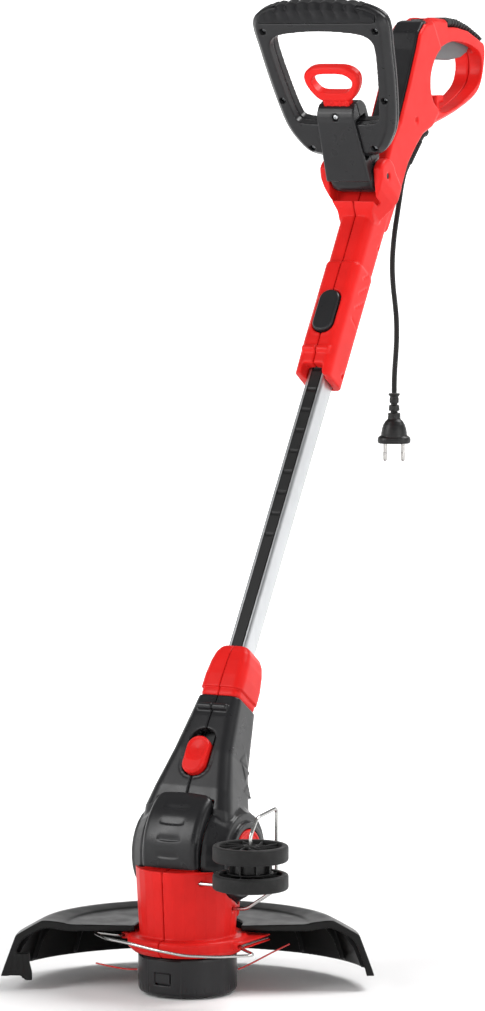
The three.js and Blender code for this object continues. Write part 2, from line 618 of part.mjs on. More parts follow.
function housingBody() {
  const flange = turned([
    [0, FLANGE_Z], [54, FLANGE_Z], [FLANGE_R, 48], [FLANGE_R, FLANGE_TOP - 2], [58, FLANGE_TOP],
    [0, FLANGE_TOP],
  ], 36);
  const trunk = stacked([
    [BODY_R - 1, 0, FLANGE_TOP - 1], [BODY_R, 0, 72], [BODY_R + 1, 0, 96], [BODY_R + 2, -2, 128],
  ], SIDES);
  const bulge = stacked([[30, 12, 62], [44, 17, 76], [45, 17, 108], [36, 14, 122]], 20);
  const drum = join(
    crossPin(40, -DRUM_HALF, DRUM_HALF, TILT_Y, TILT_Z, 36),
    solid(sideSlab(sector(DRUM_R, 68, 196), -DRUM_HALF, DRUM_HALF)).translate([0, TILT_Y, TILT_Z]),
  );
  const earRoom = turnedAcross([
    [FORK_IN - 0.6, 0], [FORK_IN - 0.6, 55], [37.4, 54], [48.4, 46], [54, 43.5], [90, 43.5], [90, 0],
  ], TILT_Y, TILT_Z, 36);
  const topTrim = brick(-80, 80, -80, 120, 131, 300);
  const shoulders = cut(join(trunk, bulge), earRoom, earRoom.mirror([1, 0, 0]), topTrim);
  const rails = sides.map(([, side]) => cut(
    brick(Math.min(side * 40, side * 68.5), Math.max(side * 40, side * 68.5), -14, 48, 49.5, 56.5),
    brick(Math.min(side * 64, side * 80), Math.max(side * 64, side * 80), -20, 60, 51.1, 54.9),
  ));
  const motorRoom = join(post(33, 66, 118), post(40, FLANGE_Z - 1, 62, 0, 0, 32), post(13, 50, 128));
  const axleRoom = crossPin(7.4, -40, 40, TILT_Y, TILT_Z);
  const wireHoles = join(crossPin(2.2, 30, 70, -36, 117, 12), crossPin(2.6, 38, 70, 5, 86.3, 12));
  return cut(join(flange, shoulders, drum, ...rails), motorRoom, axleRoom, wireHoles);
}
const housing = housingBody();
for (const [name, side] of sides) piece(`motor_housing_${name}`, halfOf(housing, side), red);

function headCover() {
  const arc = (radius, from, to, parts) => Array.from({ length: parts + 1 }, (_, i) => {
    const turn = deg(from + ((to - from) * i) / parts);
    return [TILT_Y + radius * Math.cos(turn), TILT_Z + radius * Math.sin(turn)];
  });
  const rest = [...arc(67, 156, 176, 3), ...arc(63.5, 186, 188, 1)];
  const shell = outline([...arc(71, 115, 150, 6), ...rest, ...arc(50, 184, 122, 8)]);
  const drumRoom = crossPin(DRUM_R + GAP, -DRUM_HALF - GAP, DRUM_HALF + GAP, TILT_Y, TILT_Z, 72);
  return cut(solid(sideSlab(shell, -31.2, 31.2, 1)), drumRoom);
}
piece('head_cover', headCover(), black);

const SHAFT_R = 4;
const HUB_BORE = SHAFT_R + GAP;
piece('motor_can', cut(post(32, 70, 117, 0, 0, 32), post(HUB_BORE, 60, 80, 0, 0, 16)), steel);
function fan() {
  const disc = turned([
    [HUB_BORE, 46], [37, 46], [37, 48], [9, 48], [9, 58], [HUB_BORE, 58], [HUB_BORE, 46],
  ], 24);
  const blades = Array.from({ length: 9 }, (_, i) => solid(
    block(12, 36, -1, 1, 47.5, 57).rotateZ((2 * Math.PI * i) / 9),
  ));
  return join(disc, ...blades);
}
piece('cooling_fan', fan(), black);
piece('motor_shaft', post(SHAFT_R, 30, 79, 0, 0, 16), steel);

// ---------------------------------------------------------------- debris guard and line cutter
const WALL = 2.6;
const GUARD_DEPTH = 0.84;              // depth of the guard over half its width
function guardBody() {
  const outer = [[187, 15], [171, 57], [148, 70], [132, 70.5], [118, 67.5], [46, 66]];
  const inner = [
    [46, 66 - WALL], [118, 67.5 - WALL], [132, 70.5 - WALL], [146.5, 70 - WALL], [168.5, 55.5],
    [184.3, 15],
  ];
  const lip = [[46, 60.6], [118, 61.5], [132, 64], [144, 63], [164, 51.5], [179, 15]];
  const squash = (body) => body.scale([1, GUARD_DEPTH, 1]);
  const shell = squash(turned([...outer, ...inner, outer[0]], 56));
  const rim = squash(turned([...outer, ...lip, outer[0]], 56));
  const back = brick(-220, 220, 0, 220, 0, 100);
  const strip = brick(-220, 220, 0, WALL, 0, 100);
  const seat = turned([[0, 60], [57, 60], [74, 63], [74, 66], [62, 71], [56.5, 86], [0, 86]], 40);
  const whole = join(common(shell, back), common(rim, strip), common(seat, back));
  const elongated = join(
    post(BODY_R + 3.4, 30, 100, 0, 0, 40), post(47, 30, 100, 0, 17, 32), post(50, 30, 100, 0, 8, 32),
  );
  return cut(whole, elongated.rotate([0, 0, -HEAD_YAW]));
}
piece('debris_guard', guardBody(), black, guardFrame);
piece('line_cutter', brick(-166, -158, 4, 5.5, 12, 38), steel, guardFrame);

// ---------------------------------------------------------------- plant guard wire
const WIRE_R = 1.5;
const BOW_TILT = 3.5;
const wireHalf = (side) => [
  [side * 66.2, 45, 53], [side * 66.2, -16, 53], [side * 93, -29, 53 - side * BOW_TILT],
  [side * 62, -55, 53 - side * BOW_TILT], [side * 32, -64.5, 53 - side * BOW_TILT],
];
const guardRoute = [...wireHalf(-1), [0, -67.5, 53], ...wireHalf(1).reverse()];
piece('plant_guard', wire(bentPath(guardRoute, 6), WIRE_R, 60, 6), steel);

// ---------------------------------------------------------------- edging wheels
const WHEEL_X = 98.5;
const WHEEL_Y = -50;
const bracketRoute = [
  [32, -36, 117], [60, -36, 117], [WHEEL_X, WHEEL_Y, 117], [WHEEL_X, WHEEL_Y, 172],
  [WHEEL_X, -36, 188], [WHEEL_X, 4, 192], [WHEEL_X, 4, 111], [64, 5, 88], [40, 5, 86],
];
piece('wheel_bracket', wire(bentPath(bracketRoute, 5), 1.8, 60, 6), steel);
function wheel(z0, z1) {
  const rim = turned([
    [31, z0], [36, z0], [37.5, z0 + 2], [37.5, z1 - 2], [36, z1], [31, z1], [31, z0],
  ], 28);
  const hub = turned([[2.3, z0 + 4], [8, z0 + 4], [8, z1], [2.3, z1], [2.3, z0 + 4]], 12);
  const plate = turned([
    [7.5, z0 + 6], [31.5, z0 + 6], [31.5, z0 + 8], [7.5, z0 + 8], [7.5, z0 + 6],
  ], 24);
  const spokes = Array.from({ length: 8 }, (_, i) => solid(
    block(7, 32, -0.9, 0.9, z0 + 2, z1 - 2).rotateZ((2 * Math.PI * i) / 8),
  ));
  return join(rim, hub, plate, ...spokes).translate([WHEEL_X, WHEEL_Y, 0]);
}
piece('edging_wheel_lower', wheel(119.6, 134.6), rubber);
piece('edging_wheel_upper', wheel(147.4, 163), rubber);
const spacer = turned([[2.3, 134.9], [22.5, 134.9], [22.5, 147.1], [2.3, 147.1], [2.3, 134.9]], 20);
piece('wheel_spacer', spacer.translate([WHEEL_X, WHEEL_Y, 0]), black);

// ---------------------------------------------------------------- cutting head
const spoolFrame = new THREE.Group();
spoolFrame.rotation.z = deg(HEAD_YAW);
trimmer.add(spoolFrame);
const eyelets = crossPin(1.8, -60, 60, 0, 22, 12);
const cup = cut(
  turned([
    [0, 0], [34, 0], [36, 1.5], [46.5, 1.5], [SPOOL_R, 6], [SPOOL_R, SPOOL_TOP], [47, SPOOL_TOP],
    [47, 6.5], [45, 4], [0, 3],
  ], 36),
  eyelets,
  solid(block(-9, 9, -60, -44, 14, 26)).rotate([0, 0, -30]),
  solid(block(-9, 9, 44, 60, 14, 26)).rotate([0, 0, -30]),
);
piece('spool_cup', cup, black, spoolFrame);
const carrier = turned([
  [HUB_BORE, 28.5], [46.6, 28.5], [46.6, 40], [12, 40], [12, 44.5], [HUB_BORE, 44.5], [HUB_BORE, 28.5],
], 28);
piece('spool_carrier', carrier, black, spoolFrame);
const latches = [59.5, 239.5].map((turn) => join(
  solid(block(43.4, 45.7, -8, 8, 8, 28.1)), solid(block(45, 48.3, -8.2, 8.2, 16, 25.4)),
).rotate([0, 0, turn]));
const latchRing = turned([[42, 26.4], [46.3, 26.4], [46.3, 28.1], [42, 28.1], [42, 26.4]], 24);
piece('latch_ring', join(latchRing, ...latches), black, spoolFrame);
const reel = turned([
  [8, 5], [38, 5], [38, 7], [20, 7], [20, 24], [38, 24], [38, 26], [8, 26], [8, 5],
], 24);
piece('line_spool', reel, white, spoolFrame);
const coil = turned([[20.3, 7.3], [34, 7.3], [34, 23.7], [20.3, 23.7], [20.3, 7.3]], 20);
piece('line_coil', coil, red, spoolFrame);
const leftLine = [[-35, 0, 22], [-48, 0, 22], [-62, 2, 22], [-78, 6, 24], [-92, 12, 26]];
const rightLine = [[35, 0, 22], [50, 0, 22], [66, 6, 28], [84, 14, 36], [102, 24, 43]];
piece('line_end_left', wire(smoothPath(leftLine), 0.9, 12, 6), red, spoolFrame);
piece('line_end_right', wire(smoothPath(rightLine), 0.9, 12, 6), red, spoolFrame);

export default trimmer;
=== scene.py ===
# A corded electric string trimmer: the looks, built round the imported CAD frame.
import json
import math
import bmesh
import bpy
from mathutils import Matrix, Vector


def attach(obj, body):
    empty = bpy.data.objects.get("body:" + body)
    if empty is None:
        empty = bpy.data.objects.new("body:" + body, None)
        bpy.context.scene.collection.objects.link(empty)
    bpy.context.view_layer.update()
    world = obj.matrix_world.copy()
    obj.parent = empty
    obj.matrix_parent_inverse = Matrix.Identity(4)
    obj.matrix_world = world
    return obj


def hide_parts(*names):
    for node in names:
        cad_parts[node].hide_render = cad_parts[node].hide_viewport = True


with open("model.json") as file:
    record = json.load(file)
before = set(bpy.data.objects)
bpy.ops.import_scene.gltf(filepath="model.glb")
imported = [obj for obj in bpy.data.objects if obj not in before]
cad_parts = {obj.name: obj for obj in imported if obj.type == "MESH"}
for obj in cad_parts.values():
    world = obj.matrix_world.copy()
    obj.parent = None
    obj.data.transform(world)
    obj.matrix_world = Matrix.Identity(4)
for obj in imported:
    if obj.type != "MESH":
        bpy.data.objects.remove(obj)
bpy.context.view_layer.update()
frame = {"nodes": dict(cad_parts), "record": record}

nodes = frame["nodes"]
scene = bpy.context.scene

# ---------------------------------------------------------------- frames, in millimetres
MM = 0.001
TO_METRES = Matrix.Scale(MM, 4)


def placed(origin, axis, degrees):
    return Matrix.Translation(origin) @ Matrix.Rotation(math.radians(degrees), 4, axis)


WORLD = Matrix.Identity(4)
HINGE_Y, HINGE_Z = 22, 138                  # the axle that joins the neck and the head
TUBE = placed((0, HINGE_Y, HINGE_Z), "X", -33)  # z runs up the tube, -y is its front
BAR = placed((0, 368, 805), "X", 25)        # z runs up the front handle, -y is its front
HEAD_YAW = 28.5
GUARD = placed((0, 0, 0), "Z", HEAD_YAW)    # the guard and spool, turned about the spool axis
TUBE_MIDDLE = -28                           # y of the tube's axis in its frame
SIDES = ((-1, "left"), (1, "right"))


# ---------------------------------------------------------------- camera
camera_data = bpy.data.cameras.new("camera")
camera = bpy.data.objects.new("camera", camera_data)
scene.collection.objects.link(camera)
camera.location = (2.280, -4.084, 0.938)
camera.rotation_euler = (Vector((0, 0.115, 0.478)) - camera.location).to_track_quat("-Z", "Y").to_euler()
camera_data.sensor_width = 36
camera_data.lens = 168.96
camera_data.clip_start = 0.1
camera_data.clip_end = 30
scene.camera = camera


# ---------------------------------------------------------------- materials
class Nodes:
    """A material's node tree, with short calls to add a node and to join two sockets."""

    def __init__(self, name):
        self.material = bpy.data.materials.new(name)
        self.material.use_nodes = True
        self.tree = self.material.node_tree
        self.shader = self.tree.nodes["Principled BSDF"]
        self.place = self.add("ShaderNodeTexCoord").outputs["Object"]

    def add(self, kind, **values):
        node = self.tree.nodes.new(kind)
        for key, value in values.items():
            if hasattr(node, key):
                setattr(node, key, value)
            else:
                node.inputs[key.replace("_", " ")].default_value = value
        return node

    def join(self, source, target):
        self.tree.links.new(source, target)

    def noise(self, scale, detail=3.0, place=None):
        node = self.add("ShaderNodeTexNoise", Scale=scale, Detail=detail)
        self.join(place or self.place, node.inputs["Vector"])
        return node.outputs["Fac"]

    def spread(self, value, low, high):
        node = self.add("ShaderNodeMapRange")
        self.join(value, node.inputs["Value"])
        node.inputs["From Min"].default_value = 0.3
        node.inputs["From Max"].default_value = 0.7
        node.inputs["To Min"].default_value = low
        node.inputs["To Max"].default_value = high
        return node.outputs["Result"]

    def tint(self, color, change, scale):
        mix = self.add("ShaderNodeMix", data_type="RGBA")
        mix.inputs["A"].default_value = (*[c * (1 - change) for c in color], 1)
        mix.inputs["B"].default_value = (*[min(1, c * (1 + change)) for c in color], 1)
        self.join(self.spread(self.noise(scale), 0, 1), mix.inputs["Factor"])
        self.join(mix.outputs["Result"], self.shader.inputs["Base Color"])

    def bump(self, heights):
        """Each height is (value, strength, distance in metres)."""
        normal = None
        for value, strength, distance in heights:
            node = self.add("ShaderNodeBump", Strength=strength, Distance=distance)
            self.join(value, node.inputs["Height"])
            if normal:
                self.join(normal, node.inputs["Normal"])
            normal = node.outputs["Normal"]
        self.join(normal, self.shader.inputs["Normal"])


COLOR_CHANGE = 0.06          # how unevenly coloured and glossy the plastics are
GLOSS_CHANGE = 0.05


def plastic(name, color, rough, grain=1400, depth=0.00004, coat=0.0, shine=0.5):
    """Moulded plastic: a fine spark-eroded grain, soft flow marks and uneven gloss."""
    made = Nodes(name)
    made.tint(color, COLOR_CHANGE, 35)
    gloss = made.spread(made.noise(60), rough - GLOSS_CHANGE, rough + GLOSS_CHANGE)
    made.join(gloss, made.shader.inputs["Roughness"])
    made.bump([(made.noise(grain, 2), 0.35, depth), (made.noise(40, 1), 0.08, 0.0004)])
    made.shader.inputs["Coat Weight"].default_value = coat
    made.shader.inputs["Coat Roughness"].default_value = 0.12
    made.shader.inputs["Specular IOR Level"].default_value = shine
    return made.material


def rubber(name, color, rough, grain=900):
    """Soft moulded rubber: dull, with a coarser grain and a faint bloom."""
    made = Nodes(name)
    made.tint(color, 0.18, 90)
    made.join(made.spread(made.noise(150), rough - 0.07, rough + 0.07), made.shader.inputs["Roughness"])
    made.bump([(made.noise(grain, 3), 0.5, 0.00008)])
    made.shader.inputs["Specular IOR Level"].default_value = 0.2
    made.shader.inputs["Sheen Weight"].default_value = 0.06
    made.shader.inputs["Sheen Roughness"].default_value = 0.5
    return made.material


def metal(name, color, rough, stretch=(1, 1, 1), grain=700, depth=0.00002, turn=0.0):
    """Metal with drawing or machining marks that run along the stretched direction."""
    made = Nodes(name)
    mapping = made.add("ShaderNodeMapping")
    mapping.inputs["Scale"].default_value = stretch
    mapping.inputs["Rotation"].default_value = (turn, 0, 0)
    made.join(made.place, mapping.inputs["Vector"])
    place = mapping.outputs["Vector"]
    made.tint(color, 0.04, 50)
    made.shader.inputs["Metallic"].default_value = 1.0
    marks = made.noise(grain, 4, place)
    made.join(made.spread(marks, rough - 0.06, rough + 0.08), made.shader.inputs["Roughness"])
    made.bump([(marks, 0.25, depth)])
    return made.material


RED = plastic("red_plastic", (0.57, 0.012, 0.010), 0.34, shine=0.12)
CHARCOAL = plastic("charcoal_plastic", (0.011, 0.011, 0.012), 0.31, grain=1100, depth=0.00005, shine=0.27)
GLOSS_BLACK = plastic("guard_plastic", (0.005, 0.005, 0.005), 0.36, grain=700, depth=0.00002, shine=0.18)
SOFT = rubber("soft_rubber", (0.007, 0.007, 0.008), 0.6)
TYRE = rubber("wheel_rubber", (0.010, 0.010, 0.010), 0.6, grain=1500)
CORD_RUBBER = rubber("cord_rubber", (0.005, 0.005, 0.005), 0.5, grain=2500)
GREY = plastic("grey_plastic", (0.09, 0.092, 0.095), 0.42, shine=0.3)
LIGHT = plastic("light_plastic", (0.6, 0.6, 0.58), 0.45)
BLACK = plastic("black_plastic", (0.005, 0.005, 0.005), 0.4, shine=0.3)
NYLON = plastic("nylon_line", (0.5, 0.02, 0.015), 0.25, grain=3000, coat=0.4)
TUBE_METAL = metal("tube_metal", (0.47, 0.48, 0.49), 0.34, stretch=(1, 1, 0.02), turn=math.radians(33))
WIRE_METAL = metal("bright_wire", (0.46, 0.46, 0.45), 0.2, grain=400)
STEEL = metal("steel", (0.50, 0.51, 0.52), 0.3)
DARK_STEEL = metal("dark_steel", (0.06, 0.06, 0.06), 0.45)
PIN_METAL = metal("pin_metal", (0.38, 0.37, 0.36), 0.25, grain=1200)

# Every CAD node gets its material by its slot; the pieces below replace the ones that show.
SLOT_MATERIALS = {
    "red_gloss": RED, "black_satin": CHARCOAL, "soft_rubber": SOFT, "cord_rubber": CORD_RUBBER,
    "grey_plastic": GREY, "light_plastic": LIGHT, "nylon_line": NYLON, "tube_aluminium": TUBE_METAL,
    "strip_black": BLACK, "bright_wire": WIRE_METAL, "steel": STEEL, "plug_pin": PIN_METAL,
}
slot_of = {entry["node"]: entry["material_slot"] for entry in frame["record"]["subparts"]}
for name, node in nodes.items():
    node.data.materials.clear()
    node.data.materials.append(SLOT_MATERIALS[slot_of[name]])
nodes["front_hinge_pin"].data.materials[0] = DARK_STEEL
nodes["switch_block"].data.materials[0] = CHARCOAL

body_of = {}
for body, members in frame["record"]["behaviour"]["bodies"].items():
    for member in members:
        body_of[member] = body


# ---------------------------------------------------------------- mesh tools, in millimetres
def mesh_of(build, where=WORLD):
    """The mesh of a bmesh, moved from a frame in millimetres to the row frame in metres."""
    bmesh.ops.recalc_face_normals(build, faces=build.faces)
    data = bpy.data.meshes.new("made")
    build.to_mesh(data)
    build.free()
    data.transform(TO_METRES @ where)
    return data


def loft(rings, closed=False):
    """A skin through rings of the same number of points, with both ends filled unless closed."""
    build = bmesh.new()
    rows = [[build.verts.new(p) for p in ring] for ring in rings]
    count = len(rows[0])
    pairs = list(zip(rows, rows[1:] + rows[:1])) if closed else list(zip(rows, rows[1:]))
    for low, high in pairs:
        for k in range(count):
            m = (k + 1) % count
            build.faces.new((low[k], low[m], high[m], high[k]))
    if not closed:
        build.faces.new(rows[0])
        build.faces.new(list(reversed(rows[-1])))
    return build


def turned(profile, sides=64, axis="Z", at=(0, 0, 0)):
    """A closed lathe from (radius, height) pairs that run round the section."""
    rings = []
    for radius, height in profile:
        ring = []
        for k in range(sides):
            angle = 2 * math.pi * k / sides
            u, v = max(radius, 0.01) * math.cos(angle), max(radius, 0.01) * math.sin(angle)
            point = {"Z": (u, v, height), "X": (height, u, v), "Y": (u, height, v)}[axis]
            ring.append(Vector(point) + Vector(at))
        rings.append(ring)
    hollow = min(radius for radius, _ in profile) > 0.5
    return loft(rings, closed=hollow)


def brick(x0, x1, y0, y1, z0, z1):
    corners = [(x0, y0), (x1, y0), (x1, y1), (x0, y1)]
    return loft([[Vector((x, y, z)) for x, y in corners] for z in (z0, z1)])


def rod(start, end, radius, sides=20):
    return swept([start, end], radius, sides)


def swept(points, radius, sides=16):
    """A round bar along a path."""
    path = [Vector(p) for p in points]
    rings = []
    side = None
    for i, point in enumerate(path):
        before = path[max(i - 1, 0)]
        after = path[min(i + 1, len(path) - 1)]
        along = (after - before).normalized()
        if side is None:
            side = along.orthogonal().normalized()
        side = (side - along * side.dot(along)).normalized()
        up = along.cross(side)
        rings.append([
            point + side * radius * math.cos(2 * math.pi * k / sides)
            + up * radius * math.sin(2 * math.pi * k / sides)
            for k in range(sides)
        ])
    return loft(rings)


def smooth_path(points, steps=8, closed=False):
    """Catmull-Rom points through the given ones."""
    path = [Vector(p) for p in points]
    made = []
    last = len(path) if closed else len(path) - 1
    for i in range(last):
        if closed:
            a, b, c, d = (path[(i + k) % len(path)] for k in (-1, 0, 1, 2))
        else:
            a, b = path[max(i - 1, 0)], path[i]
            c, d = path[i + 1], path[min(i + 2, len(path) - 1)]
        for k in range(steps):
            t = k / steps
            made.append(0.5 * (2 * b + (c - a) * t + (2 * a - 5 * b + 4 * c - d) * t * t
                               + (3 * b - a - 3 * c + d) * t ** 3))
    if not closed:
        made.append(path[-1])
    return made


def bent_path(points, bend, steps=7):
    """Straight runs with round bends that start a little before each corner."""
    corners = [Vector(p) for p in points]
    made = [corners[0]]
    for before, here, after in zip(corners, corners[1:], corners[2:]):
        start = here.lerp(before, bend / (here - before).length)
        end = here.lerp(after, bend / (here - after).length)
        for k in range(steps + 1):
            t = k / steps
            made.append(start.lerp(here, t).lerp(here.lerp(end, t), t))
    made.append(corners[-1])
    return made


def oval_points(half, length, steps=12):
    """A slot-shaped outline about the origin, as (u, v) pairs."""
    reach = length / 2 - half
    points = []
    for centre, start in ((reach, 0), (-reach, math.pi)):
        for k in range(steps + 1):
            angle = start + math.pi * k / steps
            points.append((half * math.cos(angle), centre + half * math.sin(angle)))
    return points


# ---------------------------------------------------------------- pieces
def link(name, data, body, material, replaces=(), smooth=True):
    """A finished piece that rides on a body and stands for CAD nodes."""
    piece = bpy.data.objects.new(name, data)
    scene.collection.objects.link(piece)
    data.materials.clear()
    data.materials.append(material)
    for polygon in data.polygons:
        polygon.use_smooth = smooth
    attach(piece, body)
    if replaces:
        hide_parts(*replaces)
    return piece


def applied(data, *changes):
    """The mesh after a list of modifiers, each (kind, {setting: value})."""
    thing = bpy.data.objects.new("work", data)
    scene.collection.objects.link(thing)
    for kind, settings in changes:
        modifier = thing.modifiers.new(kind, kind)
        for key, value in settings.items():
            setattr(modifier, key, value)
    graph = bpy.context.evaluated_depsgraph_get()
    made = bpy.data.meshes.new_from_object(thing.evaluated_get(graph))
    bpy.data.objects.remove(thing)
    return made


def joined(*meshes):
    """The meshes as one."""
    build = bmesh.new()
    for data in meshes:
        build.from_mesh(data)
    made = bpy.data.meshes.new("joined")
    build.to_mesh(made)
    build.free()
    return made


def carved(data, *cutters, operation="DIFFERENCE"):
    """The mesh less its cutters, or what they share with it."""
    tool = bpy.data.objects.new("tool", joined(*cutters))
    scene.collection.objects.link(tool)
    made = applied(data, ("BOOLEAN", {
        "object": tool, "operation": operation, "solver": "EXACT", "use_self": True,
    }))
    bpy.data.objects.remove(tool)
    return made


def creased(data, degrees=32):
    """Smooth shading that stops at edges sharper than the angle."""
    build = bmesh.new()
    build.from_mesh(data)
    limit = math.radians(degrees)
    for edge in build.edges:
        sharp = len(edge.link_faces) == 2 and edge.calc_face_angle(0) > limit
        edge.smooth = not sharp
    build.to_mesh(data)
    build.free()
    return data


def softened(data, voxel, passes):
    """Moulded edges: the closed mesh remade at a fine grain and relaxed."""
    return applied(
        data,
        ("REMESH", {"mode": "VOXEL", "voxel_size": voxel * MM, "use_smooth_shade": True}),
        ("SMOOTH", {"factor": 0.5, "iterations": passes}),
    )


def moulded(node, material, voxel=1.0, passes=4, add=(), cut=(), shape=None):
    """A CAD node's shape as a moulding, with raised and sunk detail added before it is softened."""
    data = nodes[node].data.copy()
    if add:
        data = joined(data, *add)
    if cut:
        data = carved(data, *cut)
    data = softened(data, voxel, passes)
    if shape:
        shape(data)
    return link(node + "_moulded", data, body_of[node], material, [node])


# ---------------------------------------------------------------- cord, boot and plug
CORD_R = 2.8
CORD_ROUTE = [
    (0, 488.5, 815.5), (0, 479, 805.7), (0, 472.5, 793), (0, 467, 777), (0, 461.5, 760),
    (0, 456, 743), (0, 452.3, 726), (0, 450.7, 712), (0, 451, 698), (0, 453.5, 682),
    (0, 457, 668), (0, 460, 654), (0, 461.3, 641), (0, 461.2, 626), (0, 459.5, 611),
    (0, 457.4, 597), (0, 456.2, 584), (0, 456, 570.5),
]


def make_cord():
    """The hanging cord as a curve, and its length in metres."""
    path = smooth_path(CORD_ROUTE, 6)
    curve = bpy.data.curves.new("cord_line", "CURVE")
    curve.dimensions = "3D"
    spline = curve.splines.new("POLY")
    spline.points.add(len(path) - 1)
    for point, place in zip(spline.points, path):
        point.co = (*(place * MM), 1)
    spline.use_smooth = True
    curve.bevel_depth = CORD_R * MM
    curve.bevel_resolution = 6
    curve.use_fill_caps = True
    curve.materials.append(CORD_RUBBER)
    cord = bpy.data.objects.new("cord_line", curve)
    scene.collection.objects.link(cord)
    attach(cord, "handle")
    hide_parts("cord")
    length = sum((b - a).length for a, b in zip(path, path[1:])) * MM
    return cord, round(length, 3)


PLUG_TOP = 570.5
PLUG = placed((0, 456, 0), "Z", 27)


def make_plug():
    """A moulded two-pin plug: a notched relief, a bell and a flat oval foot."""
    profile = [(0.01, -0.4), (5.9, -0.4), (6.4, -1.2), (5.6, -2.9), (4.6, -3.6), (4.6, -5.4), (5.0, -6),
               (5.0, -10.6), (3.5, -11), (3.5, -12.9), (5.5, -13.2), (5.9, -19), (3.7, -19.4), (3.7, -21.3),
               (6.6, -21.6), (6.9, -28), (9.6, -30.6), (11.8, -34.4), (13.2, -39), (13.9, -43.5),
               (14.0, -47), (0.01, -47)]
    core = turned([(r, PLUG_TOP + z) for r, z in profile], 48)
    flat = PLUG @ Matrix.Diagonal((1, 0.82, 1, 1))
    foot_rings = []
    insets = ((1.6, -54.4), (0.5, -53.8), (0.1, -52.6), (0, -50.5), (0.4, -48), (1.6, -46.6),
              (5, -44.5), (8, -42))
    for inset, z in insets:
        half, depth = 17.8 - inset * 1.2, 11.8 - inset
        foot_rings.append([
            Vector((half * abs(math.cos(a)) ** 0.72 * math.copysign(1, math.cos(a)),
                    depth * math.sin(a), PLUG_TOP + z))
            for a in (2 * math.pi * k / 48 for k in range(48))
        ])
    foot = loft(foot_rings)
    data = softened(joined(mesh_of(core, flat), mesh_of(foot, PLUG)), 0.4, 1)
    plug = link("plug", data, "handle", BLACK, ["plug_body"])
    pins = []
    for side, name in SIDES:
        top, tip = PLUG_TOP - 54.8, PLUG_TOP - 73.5
        pin = turned([(0.01, tip), (1.1, tip), (2.0, tip + 1.0), (2.35, tip + 2.4), (2.38, tip + 9),
                      (2.05, tip + 9.4), (2.05, top), (0.01, top)], 32, at=(side * 9.5, 0, 0))
        data = creased(mesh_of(pin, PLUG))
        pins.append(link(f"pin_{name}", data, "handle", PIN_METAL, [f"plug_pin_{name}"]))
    return [plug, *pins]


BOOT_TOP = Vector((0, 524, 852.5))
CORD_START = Vector(CORD_ROUTE[0])


def make_boot():
    """The cord's ribbed boot, from the handle to the cord's start."""
    axis = BOOT_TOP - CORD_START
    length = axis.length
    turn = axis.to_track_quat("Z", "Y").to_matrix().to_4x4()
    where = Matrix.Translation(CORD_START) @ turn
    profile = [(0.01, 0.8), (3.35, 0.8), (3.6, 1.6)]
    for ring in range(9):
        z = 2.5 + ring * 3.6
        radius = 3.75 + 0.13 * ring
        profile += [(radius, z), (radius, z + 1.9), (radius - 0.7, z + 2.3), (radius - 0.7, z + 3.2)]
    profile += [(5.2, length - 8), (7.3, length - 6), (7.4, length - 3.2), (4.6, length - 2.4),
                (4.6, length + 11.5), (0.01, length + 11.5)]
    link("boot", creased(mesh_of(turned(profile, 40), where), 50), "handle", SOFT, ["cord_boot"])


cord, cord_length = make_cord()
plug_pieces = make_plug()
make_boot()


# ---------------------------------------------------------------- handle
def sleeve_grooves(side):
    """Slanting grooves and one level groove, sunk in a side of the sleeve."""
    runs = [((-37, 608 + 18 * k), (-15, 630 + 18 * k)) for k in range(3)] + [((-38, 597), (-15, 592))]
    return [mesh_of(swept([(side * 20.5, y0, z0), (side * 20.5, y1, z1)], 1.3, 12), TUBE)
            for (y0, z0), (y1, z1) in runs]


def button_rim():
    """A raised ring round the length button."""
    ring = [(x, -54.7, 593.5 + z) for x, z in oval_points(13.7, 55)]
    return mesh_of(swept(ring + ring[:1], 1.5, 12), TUBE)


def sleeve_mouth():
    """The flare that opens the front of the sleeve round the tube."""
    corners = [(-11, 533), (11, 533), (14, 512), (-14, 512)]
    return mesh_of(loft([[Vector((x, y, z)) for x, z in corners] for y in (-62, -41)]), TUBE)


def half_only(meshes, side):
    """The part of each mesh on one side of the seam."""
    reach = 500
    wall = brick(0.3, reach, -reach, 2 * reach, -reach, 3 * reach)
    if side < 0:
        wall = brick(-reach, -0.3, -reach, 2 * reach, -reach, 3 * reach)
    wall = mesh_of(wall)
    return [carved(data, wall, operation="INTERSECT") for data in meshes]


BODY_WELLS = ((470, 862), (628, 906), (418, 800))   # screw wells of the handle's shells, (y, z)
SLEEVE_WELLS = ((-20, 535), (-20, 690))             # the same in the sleeve, in the tube's frame

for side, name in SIDES:
    detail = half_only([button_rim()], side)
    wells = [mesh_of(rod((side * 30, *p), (side * 16.5, *p), 3.4)) for p in BODY_WELLS]
    wells += [mesh_of(rod((side * 30, *p), (side * 17, *p), 3.2), TUBE) for p in SLEEVE_WELLS]
    cuts = [*wells, *sleeve_grooves(side), sleeve_mouth()]
    moulded(f"handle_shell_{name}", RED, 1.1, 7, add=detail, cut=cuts)

moulded("spine_cover", CHARCOAL, 0.9, 18)
moulded("trigger", GREY, 0.6, 5)
moulded("lock_off_button", CHARCOAL, 0.5, 4)


def grip_waves(pitch, height, along, fullness):
    """A wavy surface: points move along their normals, in ridges across the grip."""
    def shape(data):
        moves = []
        for vertex in data.vertices:
            place = vertex.co / MM
            u, lift = along(place)
            wave = 0.5 + 0.5 * math.cos(2 * math.pi * u / pitch)
            moves.append(vertex.normal * (height * MM * lift * (wave ** fullness - 1)))
        for vertex, move in zip(data.vertices, moves):
            vertex.co += move
        data.update()
    return shape


TO_BAR = BAR.inverted()
BAR_SPREAD = 1.045                          # the bar bows out a little past its frame


